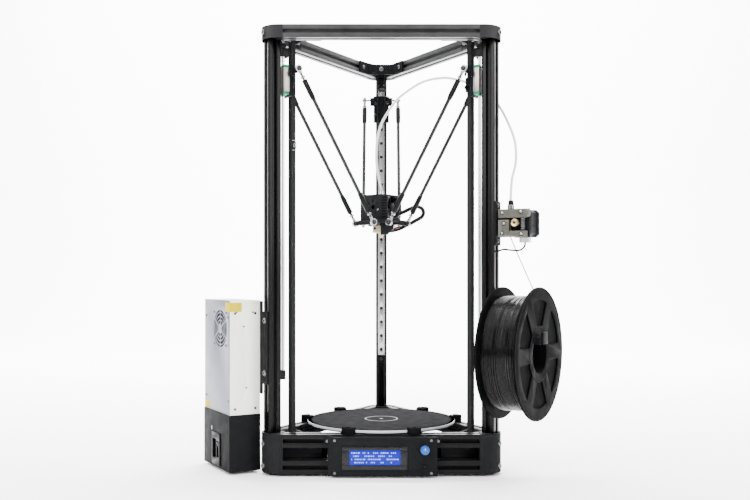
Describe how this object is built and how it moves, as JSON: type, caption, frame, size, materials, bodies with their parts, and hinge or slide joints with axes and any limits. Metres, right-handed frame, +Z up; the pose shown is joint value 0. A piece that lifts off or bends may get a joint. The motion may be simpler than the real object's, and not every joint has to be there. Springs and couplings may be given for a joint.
{
  "type": "delta printer",
  "caption": "Desktop delta 3D printer: three-column frame, round heated bed, belt-driven carriages, rod-hung effector, side supply, feeder and filament spool.",
  "frame": {"origin": "centre of the build surface, on the axis between the three columns", "axes": "+Z up along the columns; -Y to the front, where the display is; +X to the right, towards the spool"},
  "size_m": [0.5737, 0.4336, 0.684],
  "materials": {
    "casting": "fine moulded texture",
    "black_extrusion": "black anodised, satin",
    "ground_steel": "ground",
    "belt_rubber": "matt, toothed inside",
    "motor_black": "satin lacquer over laminations",
    "switch_black": "moulded",
    "screw_steel": "zinc plated",
    "foot_rubber": "matt",
    "heater_plate": "dark anodised",
    "plate_glass": "dark coated glass, bright ground rim",
    "clip_black": "moulded",
    "circuit_board": "green solder mask",
    "panel_black": "fine texture",
    "display": "blue lit display in a black bezel",
    "supply_grey": "galvanised sheet, pale grey",
    "cover_black": "moulded, slightly textured",
    "inlet_black": "moulded",
    "bracket_black": "powder coat",
    "extruder_alloy": "bead blasted, grey",
    "spring_steel": "dark spring steel",
    "holder_black": "moulded",
    "tube_white": "translucent white",
    "filament_black": "glossy",
    "cable_black": "satin jacket",
    "loom_black": "spiral wrap",
    "effector_black": "powder coat",
    "shroud_black": "satin",
    "hotend_metal": "machined, with a cream silicone cover",
    "fan_black": "moulded",
    "spool_black": "moulded, satin gloss",
    "gear_brass": "machined",
    "shaft_steel": "machined",
    "knob_blue": "moulded",
    "button_black": "moulded",
    "switch_rocker": "moulded",
    "carriage_black": "black anodised plate",
    "block_steel": "ground, with green end caps",
    "pulley_alloy": "turned",
    "rod_carbon": "dark tube with steel rod ends"
  },
  "bodies": {
    "frame": {"base_corners": "casting", "top_corners": "casting", "columns": "black_extrusion", "base_beams": "black_extrusion", "top_beams": "black_extrusion", "linear_rails": "ground_steel", "drive_belts": "belt_rubber", "stepper_motors": "motor_black", "travel_stops": "switch_black", "frame_screws": "screw_steel", "feet": "foot_rubber", "heater_bed": "heater_plate", "build_plate": "plate_glass", "bed_clips": "clip_black", "control_board": "circuit_board", "lcd_panel": "panel_black", "lcd_module": "display", "psu_case": "supply_grey", "psu_terminal_cover": "cover_black", "power_inlet": "inlet_black", "psu_bracket": "bracket_black", "extruder_bracket": "bracket_black", "extruder_body": "extruder_alloy", "extruder_spring": "spring_steel", "spool_holder": "holder_black", "bowden_tube": "tube_white", "filament_strand": "filament_black", "extruder_cable": "cable_black"},
    "effector": {"effector_plate": "effector_black", "effector_shroud": "shroud_black", "hotend": "hotend_metal", "wire_loom": "loom_black"},
    "carriage_left": {"carriage_left": "carriage_black", "rail_block_left": "block_steel"},
    "rod_left_front": {"rod_left_front": "rod_carbon"},
    "rod_left_back": {"rod_left_back": "rod_carbon"},
    "motor_pulley_left": {"motor_pulley_left": "pulley_alloy"},
    "idler_pulley_left": {"idler_pulley_left": "pulley_alloy"},
    "carriage_right": {"carriage_right": "carriage_black", "rail_block_right": "block_steel"},
    "rod_right_front": {"rod_right_front": "rod_carbon"},
    "rod_right_back": {"rod_right_back": "rod_carbon"},
    "motor_pulley_right": {"motor_pulley_right": "pulley_alloy"},
    "idler_pulley_right": {"idler_pulley_right": "pulley_alloy"},
    "carriage_rear": {"carriage_rear": "carriage_black", "rail_block_rear": "block_steel"},
    "rod_rear_left": {"rod_rear_left": "rod_carbon"},
    "rod_rear_right": {"rod_rear_right": "rod_carbon"},
    "motor_pulley_rear": {"motor_pulley_rear": "pulley_alloy"},
    "idler_pulley_rear": {"idler_pulley_rear": "pulley_alloy"},
    "effector_fan": {"effector_fan": "fan_black"},
    "spool": {"spool": "spool_black", "wound_filament": "filament_black"},
    "extruder_gear": {"extruder_gear": "gear_brass"},
    "extruder_lever": {"extruder_lever": "extruder_alloy"},
    "encoder_shaft": {"encoder_shaft": "shaft_steel"},
    "encoder_knob": {"encoder_knob": "knob_blue"},
    "reset_button": {"reset_button": "button_black"},
    "power_switch": {"power_switch": "switch_rocker"},
    "psu_fan": {"psu_fan": "fan_black"}
  },
  "joints": [
    {"name": "effector_lift", "type": "slide", "parent": "frame", "child": "effector", "axis": [0, 0, 1], "range_m": [-0.295, 0.01], "deforming": ["bowden_tube"]},
    {"name": "left_carriage_lift", "type": "slide", "parent": "frame", "child": "carriage_left", "axis": [0, 0, 1], "range_m": [-0.2951, 0.0101]},
    {"name": "left_front_rod_twist", "type": "hinge", "parent": "carriage_left", "child": "rod_left_front", "pos_m": [-0.1259, -0.10733, 0.5494], "axis": [-0.4284, -0.2474, 0.8691], "range_deg": [-12, 12]},
    {"name": "left_back_rod_twist", "type": "hinge", "parent": "carriage_left", "child": "rod_left_back", "pos_m": [-0.1559, -0.05537, 0.5494], "axis": [-0.4284, -0.2474, 0.8691], "range_deg": [-12, 12]},
    {"name": "left_motor_pulley_turn", "type": "hinge", "parent": "frame", "child": "motor_pulley_left", "pos_m": [-0.13856, -0.08, -0.036], "axis": [-0.866, -0.5, 0], "continuous": true},
    {"name": "left_idler_pulley_turn", "type": "hinge", "parent": "frame", "child": "idler_pulley_left", "pos_m": [-0.13856, -0.08, 0.6035], "axis": [-0.866, -0.5, 0], "continuous": true},
    {"name": "right_carriage_lift", "type": "slide", "parent": "frame", "child": "carriage_right", "axis": [0, 0, 1], "range_m": [-0.2951, 0.0101]},
    {"name": "right_front_rod_twist", "type": "hinge", "parent": "carriage_right", "child": "rod_right_front", "pos_m": [0.1259, -0.10733, 0.5494], "axis": [0.4284, -0.2474, 0.8691], "range_deg": [-12, 12]},
    {"name": "right_back_rod_twist", "type": "hinge", "parent": "carriage_right", "child": "rod_right_back", "pos_m": [0.1559, -0.05537, 0.5494], "axis": [0.4284, -0.2474, 0.8691], "range_deg": [-12, 12]},
    {"name": "right_motor_pulley_turn", "type": "hinge", "parent": "frame", "child": "motor_pulley_right", "pos_m": [0.13856, -0.08, -0.036], "axis": [0.866, -0.5, 0], "continuous": true},
    {"name": "right_idler_pulley_turn", "type": "hinge", "parent": "frame", "child": "idler_pulley_right", "pos_m": [0.13856, -0.08, 0.6035], "axis": [0.866, -0.5, 0], "continuous": true},
    {"name": "rear_carriage_lift", "type": "slide", "parent": "frame", "child": "carriage_rear", "axis": [0, 0, 1], "range_m": [-0.2951, 0.0101]},
    {"name": "rear_left_rod_twist", "type": "hinge", "parent": "carriage_rear", "child": "rod_rear_left", "pos_m": [-0.03, 0.1627, 0.5494], "axis": [0, 0.4947, 0.8691], "range_deg": [-12, 12]},
    {"name": "rear_right_rod_twist", "type": "hinge", "parent": "carriage_rear", "child": "rod_rear_right", "pos_m": [0.03, 0.1627, 0.5494], "axis": [0, 0.4947, 0.8691], "range_deg": [-12, 12]},
    {"name": "rear_motor_pulley_turn", "type": "hinge", "parent": "frame", "child": "motor_pulley_rear", "pos_m": [0, 0.16, -0.036], "axis": [0, 1, 0], "continuous": true},
    {"name": "rear_idler_pulley_turn", "type": "hinge", "parent": "frame", "child": "idler_pulley_rear", "pos_m": [0, 0.16, 0.6035], "axis": [0, 1, 0], "continuous": true},
    {"name": "effector_fan_turn", "type": "hinge", "parent": "effector", "child": "effector_fan", "pos_m": [0.01472, -0.0085, 0.3446], "axis": [0.866, -0.5, 0], "continuous": true},
    {"name": "spool_turn", "type": "hinge", "parent": "frame", "child": "spool", "pos_m": [0.20958, -0.121, 0.117], "axis": [0.866, -0.5, 0], "continuous": true},
    {"name": "extruder_gear_turn", "type": "hinge", "parent": "frame", "child": "extruder_gear", "pos_m": [0.20248, -0.1169, 0.314], "axis": [0.5, 0.866, 0], "continuous": true},
    {"name": "extruder_lever_squeeze", "type": "hinge", "parent": "frame", "child": "extruder_lever", "pos_m": [0.18568, -0.1072, 0.2983], "axis": [0.5, 0.866, 0], "range_deg": [-5, 0], "stiffness_Nm_per_rad": 1.5, "springref_deg": 17.19, "deforming": ["extruder_spring"]},
    {"name": "encoder_press", "type": "slide", "parent": "frame", "child": "encoder_shaft", "axis": [0, 1, 0], "range_m": [0, 0.0008], "stiffness_N_per_m": 2500, "springref_m": -0.0006},
    {"name": "encoder_turn", "type": "hinge", "parent": "encoder_shaft", "child": "encoder_knob", "pos_m": [0.0655, -0.136, -0.027], "axis": [0, -1, 0], "continuous": true},
    {"name": "reset_press", "type": "slide", "parent": "frame", "child": "reset_button", "axis": [0, 1, 0], "range_m": [0, 0.0008], "stiffness_N_per_m": 2500, "springref_m": -0.0006},
    {"name": "power_switch_rock", "type": "hinge", "parent": "frame", "child": "power_switch", "pos_m": [-0.25143, -0.07011, -0.037], "axis": [-0.5, 0.866, 0], "range_deg": [0, 16]},
    {"name": "psu_fan_turn", "type": "hinge", "parent": "frame", "child": "psu_fan", "pos_m": [-0.24404, -0.06931, 0.1516], "axis": [-0.866, -0.5, 0], "continuous": true}
  ],
  "couplings": [
    {"joint": "left_carriage_lift", "follows": "effector_lift", "ratio": 1},
    {"joint": "left_motor_pulley_turn", "follows": "effector_lift", "rad_per_m": -157.08},
    {"joint": "left_idler_pulley_turn", "follows": "effector_lift", "rad_per_m": -157.08},
    {"joint": "right_carriage_lift", "follows": "effector_lift", "ratio": 1},
    {"joint": "right_motor_pulley_turn", "follows": "effector_lift", "rad_per_m": -157.08},
    {"joint": "right_idler_pulley_turn", "follows": "effector_lift", "rad_per_m": -157.08},
    {"joint": "rear_carriage_lift", "follows": "effector_lift", "ratio": 1},
    {"joint": "rear_motor_pulley_turn", "follows": "effector_lift", "rad_per_m": -157.08},
    {"joint": "rear_idler_pulley_turn", "follows": "effector_lift", "rad_per_m": -157.08}
  ]
}
